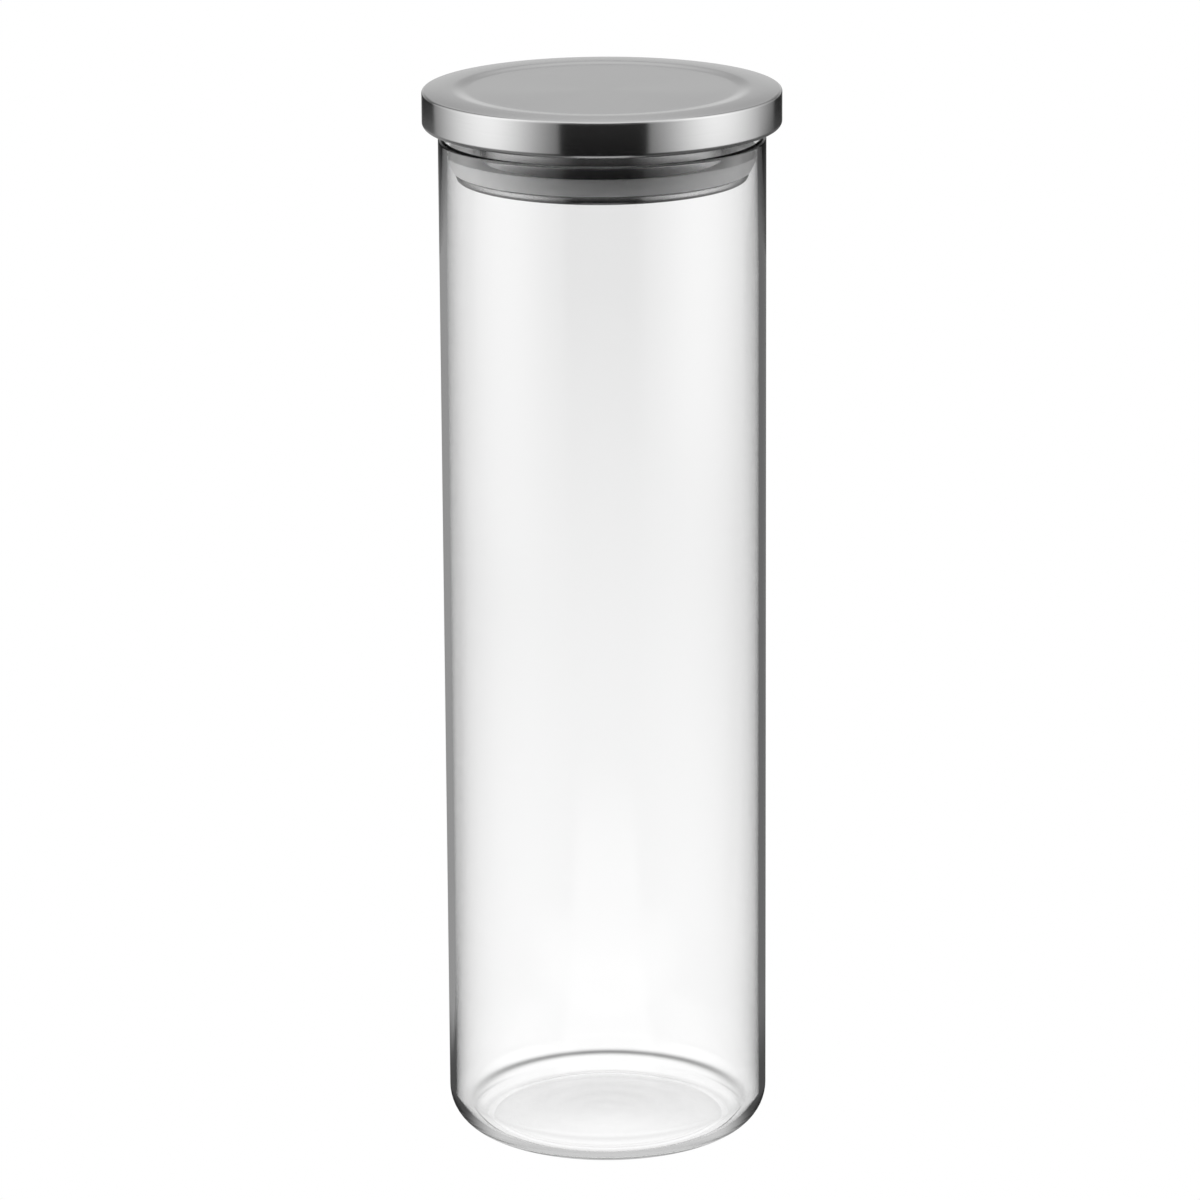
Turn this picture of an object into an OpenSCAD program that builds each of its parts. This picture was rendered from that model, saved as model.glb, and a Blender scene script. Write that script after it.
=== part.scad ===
// Tall round storage canister: a blown glass jar closed by a lid that plugs into its mouth.
// The lid is a brushed steel cap, a flanged steel neck under it, a steel dish that closes the neck
// and a silicone seal that sits round the neck, on the dish.
// Z is the axis of the jar, and z = 0 is the surface that it stands on.

/* [Jar] */
// Outer diameter of the glass
jar_d = 91.2; // [80:0.1:96]
// Height of the glass, from the table to the rim
jar_h = 288.8; // [120:0.1:340]
// Thickness of the side wall, which ends in a fully rounded rim
wall_t = 2; // [1.6:0.1:2.4]
// Outer radius of the corner at the foot
foot_r = 11; // [8:0.5:16]
// Inner radius of the corner at the floor
floor_r = 9; // [5:0.5:14]
// Thickness of the floor
floor_t = 2.2; // [2:0.1:5]
// Rise of the shallow hollow under the floor, at its centre
hollow_h = 0.8; // [0.2:0.1:1.5]
// Width of the flat ring that the jar stands on
stand_w = 1.6; // [1:0.1:3]

/* [Lid cap] */
// Diameter of the cap
cap_d = 100; // [98:0.1:110]
// Height of the cap, from its rolled hem to the highest ring of its top
cap_h = 10.5; // [9:0.1:16]
// Gap between the hem and the glass rim
rim_gap = 2.9; // [1:0.1:5]
// Thickness of the steel sheet of the cap
cap_t = 0.5; // [0.4:0.05:0.55]
// Radius of the edge round the top
edge_r = 0.8; // [0.6:0.1:1.5]
// Outer radius of the rolled hem at the foot of the skirt
hem_r = 1.5; // [1.2:0.1:1.8]
// Inner radius of the rolled hem
hem_in_r = 0.8; // [0.5:0.1:1]
// Diameter of the flat disc that is pressed into the top
disc_d = 74; // [66:0.5:78]
// Depth of that disc below the highest ring
step_h = 0.4; // [0.3:0.1:0.8]
// Fall of the top from its highest ring to its edge
crown_fall = 0.25; // [0.1:0.05:0.5]

/* [Lid neck and base] */
// Diameter of the neck under the cap
neck_d = 68.8; // [60:0.2:76]
// Diameter of the base, the dish that closes the neck
base_d = 82; // [76:0.1:82.6]
// Height of the base's wall
base_h = 2.5; // [1.6:0.1:3]
// Thickness of the steel sheet of the neck and the base
sheet_t = 0.5; // [0.4:0.1:0.6]
// Radius of the corner at the base's bottom
base_r = 1; // [0.8:0.1:1.4]

/* [Seal] */
// Running gap between the seal's lip and the bore of the jar
lip_gap = 0.2; // [0.1:0.1:0.5]
// Depth of the lip's free edge below the glass rim
lip_drop = 3.9; // [3:0.1:5]
// Height of the lip, from its root to its free edge
lip_h = 5.1; // [4:0.1:5.5]
// Height of the seal's body above the base
body_h = 3; // [2:0.1:3.2]

/* [Hidden] */
$fn = 180;
ARC_STEPS = 10;

// Jar
jar_r = jar_d / 2;
bore_r = jar_r - wall_t;
rim_r = wall_t / 2;
stand_out_r = jar_r - foot_r;
stand_in_r = stand_out_r - stand_w;
HOLLOW_STEPS = 12;

// Levels and radii of the cap
hem_z = jar_h + rim_gap;
top_z = hem_z + cap_h;
cap_r = cap_d / 2;
leaf_h = 2.7;
leaf_z = hem_z + leaf_h;
leaf_in_r = cap_r - hem_r - hem_in_r;
disc_r = disc_d / 2;
step_w = 5;
crest_r = disc_r + step_w;
edge_top_z = top_z - crown_fall;
TOP_STEPS = 8;

// Levels and radii of the seal, whose body fills the base round the neck
lip_z = jar_h - lip_drop;
root_z = lip_z - lip_h;
lip_out_r = bore_r - lip_gap;
lip_edge_t = 0.5;
root_r = 0.5;
root_reach = 0.9;
body_inset = 0.4;
LEAN_POWER = 1.6;
LIP_STEPS = 10;

// Levels and radii of the neck and the base; the hem holds the neck's upper flange
neck_r = neck_d / 2;
base_out_r = base_d / 2;
base_in_r = base_out_r - sheet_t;
root_out_r = base_out_r + root_reach;
base_z = root_z - base_h;
flange_gap = 0.1;
flange_r = cap_r - cap_t - flange_gap;
foot_flange_z = base_z + sheet_t;
corner_gap = 0.2;
foot_flange_r = base_out_r - base_r - corner_gap;

// Points on an arc in the plane of a profile, from one angle to another
function arc(centre_r, centre_z, radius, from, to) =
    [for (i = [0:ARC_STEPS])
        let (a = from + (to - from) * i / ARC_STEPS)
            [centre_r + radius * cos(a), centre_z + radius * sin(a)]];

// Smooth rise from 0 to 1 as t goes from 0 to 1
function smooth(t) = (1 - cos(180 * t)) / 2;

// Shallow dome of the floor: its rise at radius r
function dome(r) = hollow_h * (1 - smooth(min(1, r / stand_in_r)));

function dome_points(z, from_r, to_r) =
    [for (i = [0:HOLLOW_STEPS])
        let (r = from_r + (to_r - from_r) * i / HOLLOW_STEPS)
            [r, z + dome(r)]];

// Soft step from the disc up to the crest of the cap's top, at a depth below its surface
function step_points(depth) =
    [for (i = [0:TOP_STEPS])
        let (t = i / TOP_STEPS)
            [disc_r + step_w * t, top_z - depth - step_h * (1 - smooth(t))]];

// Ring from the crest out to the edge, which falls quicker and quicker
function crown_points(depth) =
    [for (i = [1:TOP_STEPS - 1])
        let (t = i / TOP_STEPS)
            [crest_r + (cap_r - edge_r - crest_r) * t, top_z - depth - crown_fall * t * t]];

function reversed(points) = [for (i = [len(points) - 1:-1:0]) points[i]];

// Face of the lip from its root to its free edge: it leans out, quickly at first
function lip_face(t, thickness) =
    let (lean = 1 - pow(1 - t, LEAN_POWER))
        [root_out_r + (lip_out_r - root_out_r) * lean - thickness,
         root_z + root_r + (lip_h - root_r) * t];

module revolve(profile) {
    rotate_extrude() polygon(profile);
}

module glass_jar() {
    color([0.85, 0.9, 0.9, 0.35])
        revolve(concat(
            dome_points(0, 0, stand_in_r),
            arc(stand_out_r, foot_r, foot_r, -90, 0),
            arc(jar_r - rim_r, jar_h - rim_r, rim_r, 0, 180),
            arc(bore_r - floor_r, floor_t + floor_r, floor_r, 0, -90),
            reversed(dome_points(floor_t, 0, bore_r - floor_r - 0.01))
        ));
}

module lid_cap() {
    color("silver")
        revolve(concat(
            [[0, top_z - step_h]],
            step_points(0),
            crown_points(0),
            arc(cap_r - edge_r, edge_top_z - edge_r, edge_r, 90, 0),
            arc(cap_r - hem_r, hem_z + hem_r, hem_r, 0, -90),
            arc(leaf_in_r + hem_in_r, hem_z + hem_in_r, hem_in_r, -100, -180),
            [[leaf_in_r, leaf_z], [cap_r - cap_t, leaf_z]],
            arc(cap_r - edge_r, edge_top_z - edge_r, edge_r - cap_t, 0, 90),
            reversed(crown_points(cap_t)),
            reversed(step_points(cap_t)),
            [[0, top_z - step_h - cap_t]]
        ));
}

module lid_neck() {
    neck_in_r = neck_r - sheet_t;
    color("lightgray")
        revolve([
            [neck_in_r, foot_flange_z],
            [foot_flange_r, foot_flange_z], [foot_flange_r, foot_flange_z + sheet_t],
            [neck_r, foot_flange_z + sheet_t], [neck_r, leaf_z],
            [flange_r, leaf_z], [flange_r, leaf_z + sheet_t],
            [neck_in_r, leaf_z + sheet_t]
        ]);
}

module lid_base() {
    corner_z = base_z + base_r;
    color("lightgray")
        revolve(concat(
            [[0, base_z]],
            arc(base_out_r - base_r, corner_z, base_r, -90, 0),
            [[base_out_r, root_z], [base_in_r, root_z]],
            arc(base_out_r - base_r, corner_z, base_r - sheet_t, 0, -90),
            [[0, foot_flange_z]]
        ));
}

module seal_ring() {
    body_z = foot_flange_z + sheet_t;
    body_top_z = root_z + body_h;
    color("whitesmoke")
        revolve(concat(
            [[neck_r, body_z], [base_in_r, body_z], [base_in_r, root_z]],
            arc(root_out_r - root_r, root_z + root_r, root_r, -90, 0),
            [for (i = [1:LIP_STEPS]) lip_face(i / LIP_STEPS, 0)],
            [for (i = [LIP_STEPS:-1:LIP_STEPS / 2])
                lip_face(i / LIP_STEPS, lip_edge_t + (1 - i / LIP_STEPS))],
            [[base_out_r - body_inset, body_top_z], [neck_r, body_top_z]]
        ));
}

glass_jar();
lid_cap();
lid_neck();
lid_base();
seal_ring();
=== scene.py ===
"""Visual model of a tall glass storage canister with a brushed steel lid.

Every piece is a turned shape round Z, so each is a closed profile of (radius, height)
points, in metres, that lathe() spins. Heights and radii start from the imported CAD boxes.
"""
import math

import bpy
from mathutils import Matrix, Vector


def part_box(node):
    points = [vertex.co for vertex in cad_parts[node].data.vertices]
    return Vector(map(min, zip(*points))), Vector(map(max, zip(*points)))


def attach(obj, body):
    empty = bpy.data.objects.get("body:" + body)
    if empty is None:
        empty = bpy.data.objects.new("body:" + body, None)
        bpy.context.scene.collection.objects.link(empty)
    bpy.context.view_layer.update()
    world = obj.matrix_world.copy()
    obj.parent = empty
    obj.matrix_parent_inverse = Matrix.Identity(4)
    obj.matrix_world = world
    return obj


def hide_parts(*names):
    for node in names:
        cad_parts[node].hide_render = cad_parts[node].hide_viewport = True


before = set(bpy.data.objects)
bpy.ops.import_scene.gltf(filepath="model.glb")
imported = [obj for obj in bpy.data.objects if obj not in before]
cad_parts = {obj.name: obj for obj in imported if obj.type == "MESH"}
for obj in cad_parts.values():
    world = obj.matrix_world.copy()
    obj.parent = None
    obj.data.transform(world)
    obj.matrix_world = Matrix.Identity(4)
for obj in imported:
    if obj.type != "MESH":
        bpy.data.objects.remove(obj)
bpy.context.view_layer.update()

MM = 0.001
SEGMENTS = 384
ARC_STEP_DEG = 6.0
FINE_STEP_DEG = 1.5

# --- Sizes, from the CAD boxes and the wall thicknesses ---------------------------------
jar_low, jar_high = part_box("glass_jar")
cap_low, cap_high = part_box("lid_cap")
neck_low, neck_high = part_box("lid_neck")
base_low, base_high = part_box("lid_base")
seal_low, seal_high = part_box("seal_ring")

JAR_R = jar_high[0]
JAR_H = jar_high[2]
WALL_T = 2.0 * MM
BORE_R = JAR_R - WALL_T
RIM_R = WALL_T / 2
FOOT_R = 11.0 * MM
FLOOR_R = 9.0 * MM
FLOOR_T = 2.2 * MM
HOLLOW_H = 0.8 * MM
FLOOR_RINGS = ((38.6 * MM, 0.4 * MM, -0.25 * MM), (33.4 * MM, 0.9 * MM, 0.16 * MM))
RIPPLE_H = 0.012 * MM
RIPPLE_PITCH = 8.0 * MM
RIPPLE_OUT_R = 32.0 * MM
RIPPLE_FADE = 6.0 * MM
STAND_OUT_R = JAR_R - FOOT_R
STAND_W = 1.6 * MM
STAND_IN_R = STAND_OUT_R - STAND_W

CAP_R = cap_high[0]
CAP_TOP = cap_high[2]
CAP_T = 0.5 * MM
EDGE_R = 0.8 * MM
HEM_Z = cap_low[2]
HEM_R = 1.5 * MM
HEM_IN_R = 0.8 * MM
LEAF_H = 2.7 * MM
LEAF_Z = HEM_Z + LEAF_H
DISC_R = 37.0 * MM
STEP_W = 5.0 * MM
STEP_H = 0.4 * MM
CREST_R = DISC_R + STEP_W
CROWN_FALL = 0.25 * MM
EDGE_TOP_Z = CAP_TOP - CROWN_FALL

NECK_R = 34.4 * MM
NECK_FOOT_Z = neck_low[2]
NECK_FILLET_R = 0.4 * MM
FLANGE_R = neck_high[0]
SHEET_T = 0.5 * MM

BASE_R = base_high[0]
BASE_Z = base_low[2]
BASE_TOP_Z = base_high[2]
BASE_CORNER_R = 1.0 * MM
CORNER_GAP = 0.2 * MM
NECK_FOOT_R = BASE_R - BASE_CORNER_R - CORNER_GAP

SEAL_TIP_Z = seal_high[2]
SEAL_TIP_R = seal_high[0]
SEAL_ROOT_Z = BASE_TOP_Z
SEAL_ROOT_REACH = 0.9 * MM
SEAL_ROOT_R = BASE_R + SEAL_ROOT_REACH
SEAL_CORNER_R = 0.5 * MM
SEAL_BODY_H = 3.0 * MM
SEAL_BODY_Z = SEAL_ROOT_Z + SEAL_BODY_H
SEAL_BODY_INSET = 0.4 * MM
SEAL_BODY_R = BASE_R - SEAL_BODY_INSET
SEAL_EDGE_T = 0.5 * MM
SEAL_THICKENING = 1.0 * MM
SEAL_LEAN_POWER = 1.6

# --- Material values --------------------------------------------------------------------
GLASS_TINT = (0.99, 0.99, 0.99, 1)
GLASS_IOR = 1.472
CAP_TINT = (0.64, 0.64, 0.64)
NECK_TINT = (0.6, 0.6, 0.6)
BASE_TINT = (0.4, 0.4, 0.4)
CAP_ROUGHNESS = 0.18
PLUG_ROUGHNESS = 0.2
CAP_ANISOTROPY = 0.8
PLUG_ANISOTROPY = 0.7
CAP_LINES_PER_MM = 6
PLUG_LINES_PER_MM = 3
BRUSH_TURNS = 1.5
BRUSH_DETAIL = 4.0
BRUSH_GRAIN = 0.65
BRUSH_BUMP = 0.08
BRUSH_SPAN = (0.2, 0.8)
BRUSH_SPREAD = 0.1
BRUSH_ROTATION = 0.25
BRUSH_SHADE = 0.06
BRUSH_DEPTH = 0.02 * MM
SILICONE_TINT = (0.92, 0.92, 0.92, 1)
SILICONE_ROUGHNESS = 0.3
SILICONE_CLEAR = 0.1
SILICONE_MILK = 0.2
SILICONE_IOR = 1.41
SILICONE_SCATTER = 2.0 * MM

# --- Studio values ----------------------------------------------------------------------
# Angles run from the camera's side, in degrees; brightness is 1 for the white background.
# A pair holds the left and the right value, or the two ends of a fade.
TENT_R = 0.62
TENT_H = 1.3
TENT_LIFT = 0.002
TENT_TOP_EDGE = 0.001
STAGE_R = 8.0
STAGE_SLAB = 0.002
STAGE_SEGMENTS = 128
CAMERA_LENS = 183.8
CAMERA_SENSOR = 36.0
CAMERA_SHIFT_X = -0.0041
CAMERA_AT = (0.0, -1.674, 0.613)
CAMERA_PITCH = 15.3
CAMERA_ROLL = -0.35
CAMERA_CLIP = (0.05, 60.0)
LIGHT_BOUNCES = 32
GLOSSY_BOUNCES = 12
DARK = 0.008
FRONT_TO = (27.0, 29.0)
FRONT_EDGE = 1.5
SIDE_LIGHT = 1.35
SIDE_LIGHT_AT = 74.0
SIDE_NEAR_W = 36.0
SIDE_FAR_W = 46.0
SIDE_LOW = (0.55, 0.3)
SIDE_LOW_Z = 0.03
SIDE_HIGH_Z = 0.17
GAP_FROM = (129.5, 137.0)
GAP_FROM_LOW = (128.0, 116.0)
GAP_TO = (157.0, 158.0)
GAP_LOW = (0.28, 0.13)
GAP_EDGE = 3.0
GAP_LOW_Z = 0.14
GAP_HIGH_Z = 0.19
BACK_EDGE_W = 22.0
BACK_LOW_Z = 0.15
BACK_HIGH_Z = 0.6
BACK_LOW = 0.3
BACK_HIGH = 0.68
BACK_STRIP = 0.82
BACK_DIM = 0.38
BACK_DIM_Z = 0.47
BACK_DIM_W = 0.07
BACK_EDGE = 0.1
BACK_STRIP_W = 30.0
BACK_STRIP_FROM = (0.22, 0.34)
OVERHEAD = 1.0
SOFT_FROM = 50.0
SOFT_TO = 80.0
SOFT_SIDE = (2.9, 1.5)
SOFT_FRONT = 0.12
# Painted light and shade on the floor round the object, seen only in reflections: bright ahead, dark to
# the sides.
FLOOR_UNDER_FRONT = 0.6
FLOOR_UNDER_SIDE = 0.07
FLOOR_LIGHT = 0.35
FLOOR_LIGHT_Z = 0.05
FLOOR_UNDER_R = (0.07, 0.13)
FLOOR_ASIDE = (50.0, 85.0)
FLOOR_AHEAD = (20.0, 34.0)
FLOOR_AHEAD_R = (0.14, 0.3)
# Painted dimming of the floor seen through the glass: brighter than white near the foot, grey far back,
# white again further out.
FLOOR_NEAR = 1.12
FLOOR_FAR = 0.78
FLOOR_DIM_R = (0.1, 1.9)
FLOOR_WHITE_R = (2.2, 4.5)
# Painted shadow: a dark ring on the floor round the foot, deepest behind it, seen only through the
# glass.
FOOT_SHADE = (0.85, 0.28)
FOOT_SHADE_SPAN = (0.01, 0.05)
FOOT_SHADE_Y = 0.015
FOOT_SHADE_R = 0.0401
FOOT_SHADE_W = 0.0024


# --- Mesh helpers -----------------------------------------------------------------------
def arc(centre_r, centre_z, radius, start_deg, end_deg, step_deg=ARC_STEP_DEG):
    """Points on an arc of a profile, from one angle to the other, both ends included."""
    steps = max(2, round(abs(end_deg - start_deg) / step_deg))
    turn = end_deg - start_deg
    angles = [math.radians(start_deg + turn * i / steps) for i in range(steps + 1)]
    return [(centre_r + radius * math.cos(a), centre_z + radius * math.sin(a)) for a in angles]


def smooth(t):
    """A smooth rise from 0 to 1 as t goes from 0 to 1."""
    return (1 - math.cos(math.pi * t)) / 2


def lathe(name, profile, segments=SEGMENTS, closed=True):
    """The profile spun round Z; a closed one is listed with its solid on the left."""
    verts, faces, rings = [], [], []
    for radius, height in profile:
        if radius < 1e-7:
            rings.append([len(verts)])
            verts.append((0.0, 0.0, height))
            continue
        rings.append(list(range(len(verts), len(verts) + segments)))
        for i in range(segments):
            angle = 2 * math.pi * i / segments
            verts.append((radius * math.cos(angle), radius * math.sin(angle), height))
    for low, high in zip(rings, rings[1:] + (rings[:1] if closed else [])):
        if len(low) == 1 and len(high) == 1:
            continue
        for i in range(segments):
            j = (i + 1) % segments
            if len(low) == 1:
                faces.append((low[0], high[j], high[i]))
            elif len(high) == 1:
                faces.append((low[i], low[j], high[0]))
            else:
                faces.append((low[i], low[j], high[j], high[i]))
    mesh = bpy.data.meshes.new(name)
    mesh.from_pydata(verts, [], faces)
    mesh.validate()
    mesh.shade_smooth()
    obj = bpy.data.objects.new(name, mesh)
    bpy.context.scene.collection.objects.link(obj)
    return obj


# --- Material helpers -------------------------------------------------------------------
class Nodes:
    """Short calls for adding and joining the nodes of one tree."""

    def __init__(self, tree):
        self.tree = tree
        tree.nodes.clear()

    def add(self, kind, **settings):
        node = self.tree.nodes.new("ShaderNode" + kind)
        for key, value in settings.items():
            setattr(node, key, value)
        return node

    def put(self, value, socket):
        if isinstance(value, bpy.types.NodeSocket):
            self.tree.links.new(value, socket)
        else:
            socket.default_value = value

    def math(self, operation, *values, clamp=False):
        node = self.add("Math", operation=operation, use_clamp=clamp)
        for value, socket in zip(values, node.inputs):
            self.put(value, socket)
        return node.outputs[0]

    def mix(self, factor, low, high):
        """A number between low and high."""
        node = self.add("Mix", data_type="FLOAT")
        self.put(factor, node.inputs[0])
        self.put(low, node.inputs[2])
        self.put(high, node.inputs[3])
        return node.outputs[0]

    def remap(self, value, from_low, from_high, to_low, to_high, kind="SMOOTHSTEP"):
        node = self.add("MapRange", interpolation_type=kind)
        for given, socket in zip((value, from_low, from_high, to_low, to_high), node.inputs):
            self.put(given, socket)
        return node.outputs[0]

    def length(self, x, y):
        """Distance from Z of a point at x, y."""
        square = self.math("ADD", self.math("MULTIPLY", x, x), self.math("MULTIPLY", y, y))
        return self.math("SQRT", square)

    def bell(self, value, centre, width):
        """1 at the centre, falling smoothly to 0 on both sides."""
        off = self.math("DIVIDE", self.math("SUBTRACT", value, centre), width)
        return self.math("EXPONENT", self.math("MULTIPLY", self.math("MULTIPLY", off, off), -1.0))

    def position(self):
        """The object's own X, Y and Z at the shaded point."""
        split = self.add("SeparateXYZ")
        self.put(self.add("TexCoord").outputs["Object"], split.inputs[0])
        return split.outputs[0], split.outputs[1], split.outputs[2]

    def principled(self, **settings):
        node = self.add("BsdfPrincipled")
        for key, value in settings.items():
            self.put(value, node.inputs[key.replace("_", " ")])
        return node


def new_material(name):
    material = bpy.data.materials.new(name)
    material.use_nodes = True
    return material, Nodes(material.node_tree)


def output(nodes, shader):
    nodes.put(shader, nodes.add("OutputMaterial").inputs["Surface"])


# --- Materials --------------------------------------------------------------------------
def glass_material():
    material, n = new_material("clear_glass")
    glass = n.principled(Base_Color=GLASS_TINT, Roughness=0.0, IOR=GLASS_IOR,
                         Transmission_Weight=1.0)
    output(n, glass.outputs[0])
    return material


def steel_material(name, roughness, anisotropy, tint, lines_per_mm):
    """Steel brushed in circles: fine lines that follow the radius and the height."""
    material, n = new_material(name)
    x, y, z = n.position()
    radius = n.length(x, y)
    across = n.math("ADD", radius, z)
    lines = n.add("TexNoise", noise_dimensions="2D")
    lines.inputs["Scale"].default_value = 1.0
    lines.inputs["Detail"].default_value = BRUSH_DETAIL
    lines.inputs["Roughness"].default_value = BRUSH_GRAIN
    place = n.add("CombineXYZ")
    n.put(n.math("MULTIPLY", across, lines_per_mm / MM), place.inputs[0])
    n.put(n.math("MULTIPLY", n.math("ARCTAN2", y, x), BRUSH_TURNS), place.inputs[1])
    n.put(place.outputs[0], lines.inputs["Vector"])
    streak = lines.outputs[0]
    shade = n.add("Mix", data_type="RGBA")
    n.put(streak, shade.inputs[0])
    n.put(tuple(c * (1 - BRUSH_SHADE) for c in tint) + (1,), shade.inputs[6])
    n.put(tuple(c * (1 + BRUSH_SHADE) for c in tint) + (1,), shade.inputs[7])
    bump = n.add("Bump")
    bump.inputs["Strength"].default_value = BRUSH_BUMP
    bump.inputs["Distance"].default_value = BRUSH_DEPTH
    n.put(streak, bump.inputs["Height"])
    tangent = n.add("Tangent", direction_type="RADIAL", axis="Z")
    smoother = roughness * (1 - BRUSH_SPREAD)
    rougher = roughness * (1 + BRUSH_SPREAD)
    steel = n.principled(Base_Color=shade.outputs[2], Metallic=1.0,
                         Roughness=n.remap(streak, *BRUSH_SPAN, smoother, rougher),
                         Anisotropic=anisotropy, Anisotropic_Rotation=BRUSH_ROTATION,
                         Normal=bump.outputs[0], Tangent=tangent.outputs[0])
    output(n, steel.outputs[0])
    return material


def silicone_material():
    material, n = new_material("seal_silicone")
    silicone = n.principled(Base_Color=SILICONE_TINT, Roughness=SILICONE_ROUGHNESS,
                            IOR=SILICONE_IOR, Transmission_Weight=SILICONE_CLEAR,
                            Subsurface_Weight=SILICONE_MILK, Subsurface_Scale=SILICONE_SCATTER,
                            Subsurface_Radius=(1.0, 1.0, 1.0))
    output(n, silicone.outputs[0])
    return material


# --- Pieces -----------------------------------------------------------------------------
def make_jar():
    dome_steps = 24
    dome_r = [STAND_IN_R * i / dome_steps for i in range(dome_steps + 1)]

    def rise(radius):
        return HOLLOW_H * (1 - smooth(min(1, radius / STAND_IN_R)))

    def wave(radius):
        rings = sum(height * math.exp(-((radius - centre) / width) ** 2)
                    for centre, width, height in FLOOR_RINGS)
        fade = smooth(min(1, max(0, (RIPPLE_OUT_R - radius) / RIPPLE_FADE)))
        return rings + RIPPLE_H * fade * math.cos(2 * math.pi * radius / RIPPLE_PITCH)

    under = [(r, rise(r)) for r in dome_r]
    floor_edge = BORE_R - FLOOR_R
    floor_steps = 90
    floor_r = [floor_edge * i / floor_steps for i in range(floor_steps)]
    floor_top = [(r, FLOOR_T + rise(r) + wave(r)) for r in floor_r]
    wall_steps = 8
    foot_z = FOOT_R
    rim_z = JAR_H - RIM_R
    outer = [(JAR_R, foot_z + (rim_z - foot_z) * i / wall_steps) for i in range(1, wall_steps)]
    inner_z = FLOOR_T + FLOOR_R
    inner = [(BORE_R, rim_z + (inner_z - rim_z) * i / wall_steps) for i in range(1, wall_steps)]
    profile = (under + arc(STAND_OUT_R, FOOT_R, FOOT_R, -90, 0) + outer
               + arc(JAR_R - RIM_R, rim_z, RIM_R, 0, 180) + inner
               + [(r, z + wave(r)) for r, z in arc(floor_edge, inner_z, FLOOR_R, 0, -90, FINE_STEP_DEG)]
               + floor_top[::-1])
    jar = lathe("jar_glass", profile)
    jar.data.materials.append(glass_material())
    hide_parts("glass_jar")
    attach(jar, "jar")


def make_cap():
    steps = 12
    edge_in_r = CAP_R - EDGE_R

    def step(depth):
        return [(DISC_R + STEP_W * i / steps, CAP_TOP - depth - STEP_H * (1 - smooth(i / steps)))
                for i in range(steps + 1)]

    def crown(depth):
        return [(CREST_R + (edge_in_r - CREST_R) * i / steps,
                 CAP_TOP - depth - CROWN_FALL * (i / steps) ** 2) for i in range(1, steps)]

    disc = [(DISC_R * i / steps, CAP_TOP - STEP_H) for i in range(steps)]
    edge_z = EDGE_TOP_Z - EDGE_R
    leaf_r = CAP_R - HEM_R - HEM_IN_R
    profile = ([(r, z - CAP_T) for r, z in disc] + step(CAP_T) + crown(CAP_T)
               + arc(edge_in_r, edge_z, EDGE_R - CAP_T, 90, 0)
               + [(CAP_R - CAP_T, LEAF_Z), (leaf_r, LEAF_Z)]
               + arc(leaf_r + HEM_IN_R, HEM_Z + HEM_IN_R, HEM_IN_R, -180, -96)
               + arc(CAP_R - HEM_R, HEM_Z + HEM_R, HEM_R, -90, 0)
               + arc(edge_in_r, edge_z, EDGE_R, 0, 90)
               + crown(0)[::-1] + step(0)[::-1] + disc[::-1])
    cap = lathe("cap_shell", profile)
    cap.data.materials.append(
        steel_material("cap_steel", CAP_ROUGHNESS, CAP_ANISOTROPY, CAP_TINT, CAP_LINES_PER_MM))
    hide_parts("lid_cap")
    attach(cap, "lid")


def make_neck():
    inner = NECK_R - SHEET_T
    foot_top_z = NECK_FOOT_Z + SHEET_T
    flange_top_z = LEAF_Z + SHEET_T
    profile = ([(inner, NECK_FOOT_Z), (NECK_FOOT_R, NECK_FOOT_Z), (NECK_FOOT_R, foot_top_z),
                (NECK_R, foot_top_z)]
               + arc(NECK_R + NECK_FILLET_R, LEAF_Z - NECK_FILLET_R, NECK_FILLET_R, 180, 90)
               + [(FLANGE_R, LEAF_Z), (FLANGE_R, flange_top_z), (inner, flange_top_z)])
    neck = lathe("neck_shell", profile)
    neck.data.materials.append(
        steel_material("neck_steel", PLUG_ROUGHNESS, PLUG_ANISOTROPY, NECK_TINT, PLUG_LINES_PER_MM))
    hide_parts("lid_neck")
    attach(neck, "lid")


def make_base():
    steps = 8
    centre_r = BASE_R - BASE_CORNER_R
    centre_z = BASE_Z + BASE_CORNER_R
    below = [centre_r * i / steps for i in range(steps)]
    profile = ([(r, BASE_Z) for r in below]
               + arc(centre_r, centre_z, BASE_CORNER_R, -90, 0)
               + [(BASE_R, BASE_TOP_Z), (BASE_R - SHEET_T, BASE_TOP_Z)]
               + arc(centre_r, centre_z, BASE_CORNER_R - SHEET_T, 0, -90)
               + [(r, BASE_Z + SHEET_T) for r in below[::-1]])
    base = lathe("base_dish", profile)
    base.data.materials.append(
        steel_material("base_steel", PLUG_ROUGHNESS, PLUG_ANISOTROPY, BASE_TINT, PLUG_LINES_PER_MM))
    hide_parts("lid_base")
    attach(base, "lid")


def make_seal():
    steps = 20
    inside_r = BASE_R - SHEET_T
    root_z = SEAL_ROOT_Z + SEAL_CORNER_R

    def face(t, thickness):
        lean = 1 - (1 - t) ** SEAL_LEAN_POWER
        return (SEAL_ROOT_R + (SEAL_TIP_R - SEAL_ROOT_R) * lean - thickness,
                root_z + (SEAL_TIP_Z - root_z) * t)

    outer = [face(i / steps, 0) for i in range(1, steps + 1)]
    inner = [face(i / steps, SEAL_EDGE_T + SEAL_THICKENING * (1 - i / steps))
             for i in range(steps, steps // 2, -1)]
    low_z = NECK_FOOT_Z + SHEET_T
    profile = ([(NECK_R, low_z), (inside_r, low_z), (inside_r, SEAL_ROOT_Z)]
               + arc(SEAL_ROOT_R - SEAL_CORNER_R, root_z, SEAL_CORNER_R, -90, 0)
               + outer + inner + [(SEAL_BODY_R, SEAL_BODY_Z), (NECK_R, SEAL_BODY_Z)])
    seal = lathe("seal_lip", profile)
    seal.data.materials.append(silicone_material())
    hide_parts("seal_ring")
    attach(seal, "lid")


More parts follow.
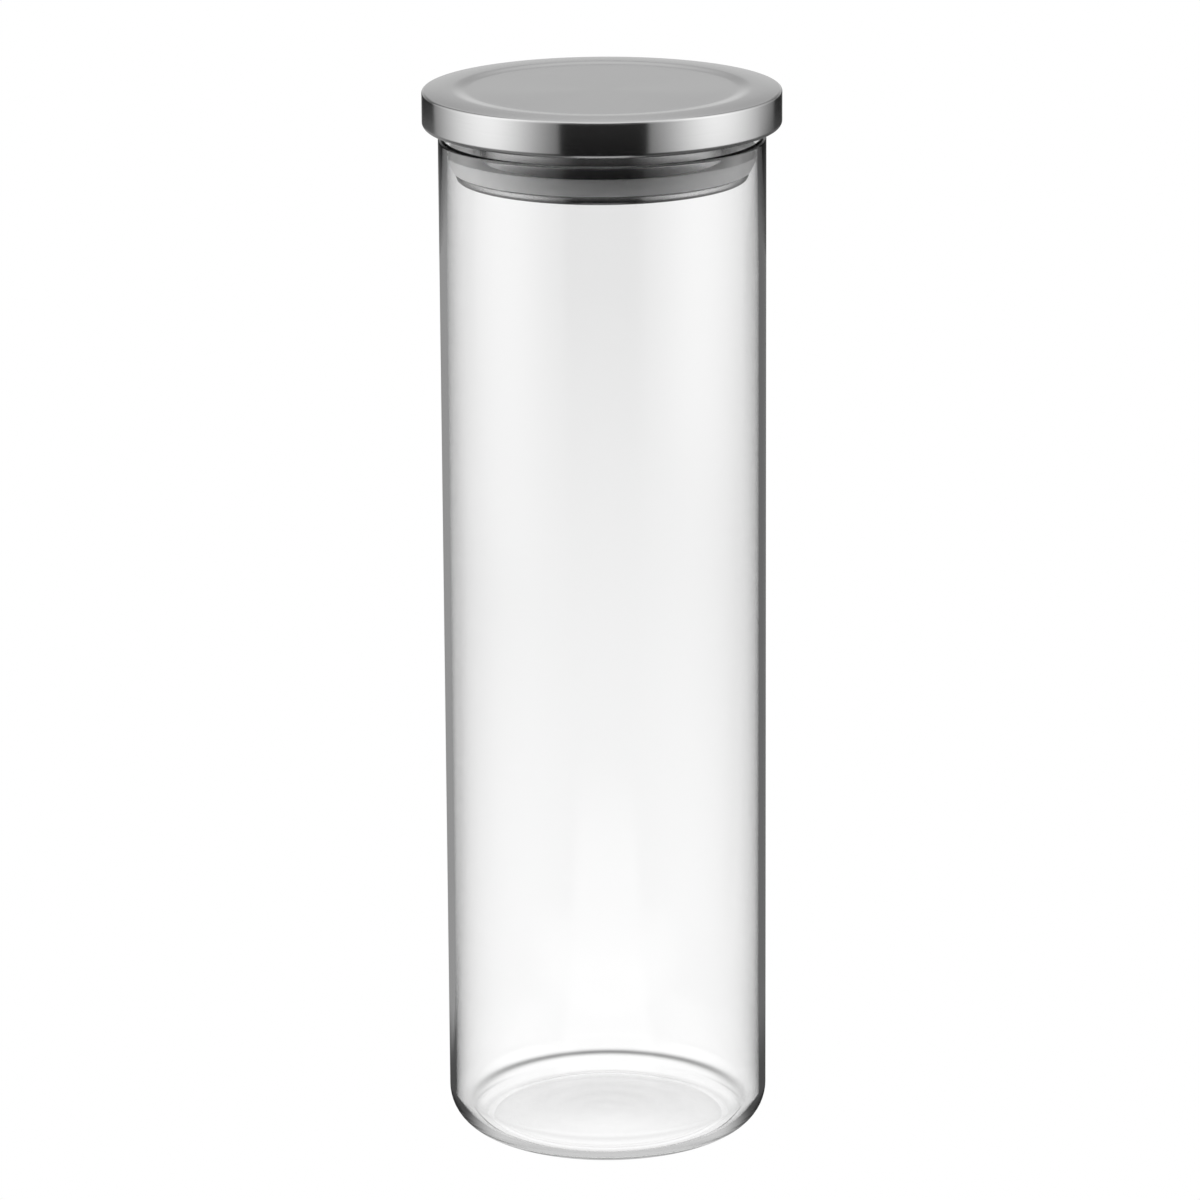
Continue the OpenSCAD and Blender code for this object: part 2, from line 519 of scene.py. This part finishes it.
# --- Studio -----------------------------------------------------------------------------
def scattered(n):
    """1 for light that has met a reflecting or diffuse surface, 0 for a clear view."""
    path = n.add("LightPath")
    met = n.math("ADD", path.outputs["Glossy Depth"], path.outputs["Diffuse Depth"])
    return n.math("GREATER_THAN", met, 0.5)


def from_matt(n):
    """1 for light on its way to a matt surface."""
    return n.math("GREATER_THAN", n.add("LightPath").outputs["Diffuse Depth"], 0.5)


def bearing(n, x, y):
    """Angle round Z from the camera's side, in degrees, and 1 on the right or 0 on the left."""
    azimuth = n.math("ARCTAN2", x, n.math("MULTIPLY", y, -1.0))
    degrees = n.math("MULTIPLY", n.math("ABSOLUTE", azimuth), 180 / math.pi)
    return degrees, n.math("GREATER_THAN", azimuth, 0.0)


def side_lights(n, degrees, right, z, gap_from):
    """A soft light on each side, dimmer low down, that ends at the dark front and at the gap."""
    width = n.mix(n.math("GREATER_THAN", degrees, SIDE_LIGHT_AT), SIDE_NEAR_W, SIDE_FAR_W)
    light = n.bell(degrees, SIDE_LIGHT_AT, width)
    low = n.math("MULTIPLY", n.mix(right, *SIDE_LOW), SIDE_LIGHT)
    low = n.math("MULTIPLY", low, n.remap(z, 0.0, FLOOR_LIGHT_Z, FLOOR_LIGHT, 1.0))
    height = n.remap(z, SIDE_LOW_Z, SIDE_HIGH_Z, 0.0, 1.0)
    light = n.math("MULTIPLY", light, n.mix(height, low, SIDE_LIGHT))
    front_to = n.mix(right, *FRONT_TO)
    front_from = n.math("SUBTRACT", front_to, FRONT_EDGE)
    light = n.math("MULTIPLY", light, n.remap(degrees, front_from, front_to, 0.0, 1.0))
    gap_dark = n.math("ADD", gap_from, GAP_EDGE)
    return n.math("MULTIPLY", light, n.remap(degrees, gap_from, gap_dark, 1.0, 0.0))


def back_light(n, degrees, right, z):
    """Pale light behind the object; higher up it is a strip with a dim band."""
    gap_to = n.mix(right, *GAP_TO)
    back_from = n.math("SUBTRACT", gap_to, GAP_EDGE)
    back_full = n.math("ADD", gap_to, BACK_EDGE_W)
    back = n.math("MULTIPLY", n.remap(degrees, back_from, back_full, 0.0, 1.0),
                  n.remap(z, BACK_LOW_Z, BACK_HIGH_Z, BACK_LOW, BACK_HIGH, "LINEAR"))
    strip = n.mix(n.bell(z, BACK_DIM_Z, BACK_DIM_W), BACK_STRIP, BACK_DIM)
    strip = n.mix(n.bell(degrees, 180.0, BACK_STRIP_W), BACK_EDGE, strip)
    return n.mix(n.remap(z, *BACK_STRIP_FROM, 0.0, 1.0), back, strip)


def studio_pattern(n, x, y, z):
    """Brightness round the object, as its glass and its steel reflect it."""
    degrees, right = bearing(n, x, y)
    raised = n.remap(z, GAP_LOW_Z, GAP_HIGH_Z, 0.0, 1.0)
    gap_from = n.mix(raised, n.mix(right, *GAP_FROM_LOW), n.mix(right, *GAP_FROM))
    gap = n.math("MULTIPLY", n.math("GREATER_THAN", degrees, gap_from),
                 n.mix(raised, n.mix(right, *GAP_LOW), DARK))
    light = n.math("ADD", side_lights(n, degrees, right, z, gap_from),
                   back_light(n, degrees, right, z))
    return n.math("ADD", n.math("MAXIMUM", light, gap), DARK)


def soft_pattern(n, x, y):
    """Brightness round the object, as its matt seal gets it."""
    degrees, right = bearing(n, x, y)
    return n.remap(degrees, SOFT_FROM, SOFT_TO, SOFT_FRONT, n.mix(right, *SOFT_SIDE))


def make_tent():
    profile = [(0, TENT_H), (TENT_R, TENT_H), (TENT_R, TENT_LIFT)]
    tent = lathe("light_tent", profile, STAGE_SEGMENTS, closed=False)
    material, n = new_material("light_tent")
    glow = n.add("Emission")
    x, y, z = n.position()
    top = n.math("GREATER_THAN", z, TENT_H - TENT_TOP_EDGE)
    around = n.mix(from_matt(n), studio_pattern(n, x, y, z), soft_pattern(n, x, y))
    n.put(n.mix(top, around, OVERHEAD), glow.inputs["Strength"])
    clear = n.add("BsdfTransparent")
    choose = n.add("MixShader")
    n.put(scattered(n), choose.inputs[0])
    n.put(clear.outputs[0], choose.inputs[1])
    n.put(glow.outputs[0], choose.inputs[2])
    output(n, choose.outputs[0])
    material.cycles.emission_sampling = "NONE"
    tent.data.materials.append(material)
    tent.visible_camera = False
    tent.visible_shadow = False


def floor_through_glass(n, x, y):
    """White floor as the glass shows it, with painted shade: a little dimmer far back, and a painted
    shadow ring at the foot.
    """
    distance = n.length(x, y)
    # Painted dimming of the floor with distance, seen only through the glass.
    through = n.remap(distance, *FLOOR_DIM_R, FLOOR_NEAR, FLOOR_FAR, "LINEAR")
    through = n.mix(n.remap(distance, *FLOOR_WHITE_R, 0.0, 1.0), through, 1.0)
    # Painted shadow ring round the foot, deepest behind it.
    from_ring = n.length(x, n.math("SUBTRACT", y, FOOT_SHADE_Y))
    depth = n.remap(y, *FOOT_SHADE_SPAN, *FOOT_SHADE)
    shade = n.mix(n.bell(from_ring, FOOT_SHADE_R, FOOT_SHADE_W), 1.0, depth)
    return n.math("MULTIPLY", through, shade)


def floor_reflected(n, x, y, z):
    """Floor as glass and steel reflect it: painted light and shade under the object, bright ahead and
    dark to the sides, and the studio's pattern beyond.
    """
    degrees = bearing(n, x, y)[0]
    ahead = n.remap(degrees, *FLOOR_AHEAD, 1.0, 0.0)
    near, far = [n.mix(ahead, *pair) for pair in zip(FLOOR_UNDER_R, FLOOR_AHEAD_R)]
    beyond = n.remap(n.length(x, y), near, far, 0.0, 1.0)
    aside = n.remap(degrees, *FLOOR_ASIDE, 0.0, 1.0)
    # Painted light ahead and painted shade to the sides, under the object.
    under = n.mix(aside, FLOOR_UNDER_FRONT, FLOOR_UNDER_SIDE)
    return n.mix(beyond, under, studio_pattern(n, x, y, z))


def make_floor():
    slab = [(0, -STAGE_SLAB), (STAGE_R, -STAGE_SLAB), (STAGE_R, 0.0), (0, 0.0)]
    floor = lathe("floor", slab, STAGE_SEGMENTS)
    material, n = new_material("floor")
    x, y, z = n.position()
    glow = n.add("Emission")
    # The camera sees the floor plain white; through the glass it shows the painted dimming and the
    # painted shadow ring.
    clear = n.mix(n.add("LightPath").outputs["Is Camera Ray"], floor_through_glass(n, x, y), 1.0)
    around = n.mix(from_matt(n), floor_reflected(n, x, y, z), soft_pattern(n, x, y))
    n.put(n.mix(scattered(n), clear, around), glow.inputs["Strength"])
    output(n, glow.outputs[0])
    material.cycles.emission_sampling = "NONE"
    floor.data.materials.append(material)


def make_world():
    world = bpy.data.worlds.new("white_room")
    bpy.context.scene.world = world
    world.use_nodes = True
    n = Nodes(world.node_tree)
    background = n.add("Background")
    background.inputs[0].default_value = (1, 1, 1, 1)
    background.inputs[1].default_value = 1.0
    n.put(background.outputs[0], n.add("OutputWorld").inputs["Surface"])


def make_camera():
    data = bpy.data.cameras.new("camera")
    data.lens = CAMERA_LENS
    data.sensor_width = CAMERA_SENSOR
    data.shift_x = CAMERA_SHIFT_X
    data.clip_start = CAMERA_CLIP[0]
    data.clip_end = CAMERA_CLIP[1]
    camera = bpy.data.objects.new("camera", data)
    tilt_back = Matrix.Rotation(math.radians(90 - CAMERA_PITCH), 4, "X")
    roll = Matrix.Rotation(math.radians(CAMERA_ROLL), 4, "Z")
    camera.matrix_world = Matrix.Translation(Vector(CAMERA_AT)) @ tilt_back @ roll
    bpy.context.scene.collection.objects.link(camera)
    bpy.context.scene.camera = camera


def set_light_paths():
    scene = bpy.context.scene
    scene.view_settings.view_transform = "Standard"
    scene.cycles.max_bounces = LIGHT_BOUNCES
    scene.cycles.transmission_bounces = LIGHT_BOUNCES
    scene.cycles.glossy_bounces = GLOSSY_BOUNCES
    scene.cycles.transparent_max_bounces = LIGHT_BOUNCES


make_camera()
make_world()
make_floor()
make_tent()
make_jar()
make_cap()
make_neck()
make_base()
make_seal()
set_light_paths()
